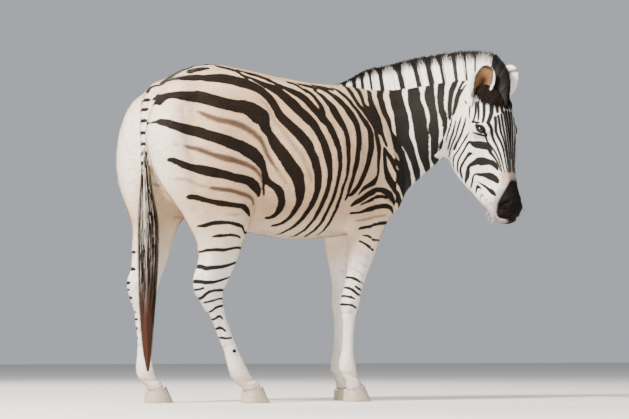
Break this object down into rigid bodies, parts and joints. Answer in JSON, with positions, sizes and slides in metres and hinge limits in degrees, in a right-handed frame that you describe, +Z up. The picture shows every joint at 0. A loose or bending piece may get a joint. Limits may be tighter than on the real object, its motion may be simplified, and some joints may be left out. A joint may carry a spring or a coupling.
{
  "type": "zebra",
  "caption": "Life-size standing plains zebra, head turned to its right, striped coat, upright mane and hanging tail; a still model for display.",
  "frame": {"origin": "centre of the footprint of the bounding box, on the floor", "axes": "+X towards the animal's chest, +Y to its left, +Z up"},
  "size_m": [1.6647, 0.7724, 1.488],
  "materials": {
    "coat": "short striped fur, near-black on cream and white",
    "leg_coat": "short pale fur with fine bars",
    "ear_coat": "short fur over skin",
    "mane_hair": "stiff upright hair, banded",
    "tail_hair": "long coarse hair",
    "horn": "dull hoof horn",
    "eye": "wet, glossy"
  },
  "bodies": {
    "root": {"ear_left": "ear_coat", "ear_right": "ear_coat", "eye_left": "eye", "eye_right": "eye", "fore_left_cannon": "leg_coat", "fore_left_hoof": "horn", "fore_left_pastern": "leg_coat", "fore_left_upper": "coat", "fore_right_cannon": "leg_coat", "fore_right_hoof": "horn", "fore_right_pastern": "leg_coat", "fore_right_upper": "coat", "head": "coat", "hind_left_cannon": "leg_coat", "hind_left_hoof": "horn", "hind_left_pastern": "leg_coat", "hind_left_upper": "coat", "hind_right_cannon": "leg_coat", "hind_right_hoof": "horn", "hind_right_pastern": "leg_coat", "hind_right_upper": "coat", "mane": "mane_hair", "neck": "coat", "tail_dock": "coat", "tail_tuft": "tail_hair", "trunk": "coat"}
  },
  "joints": []
}
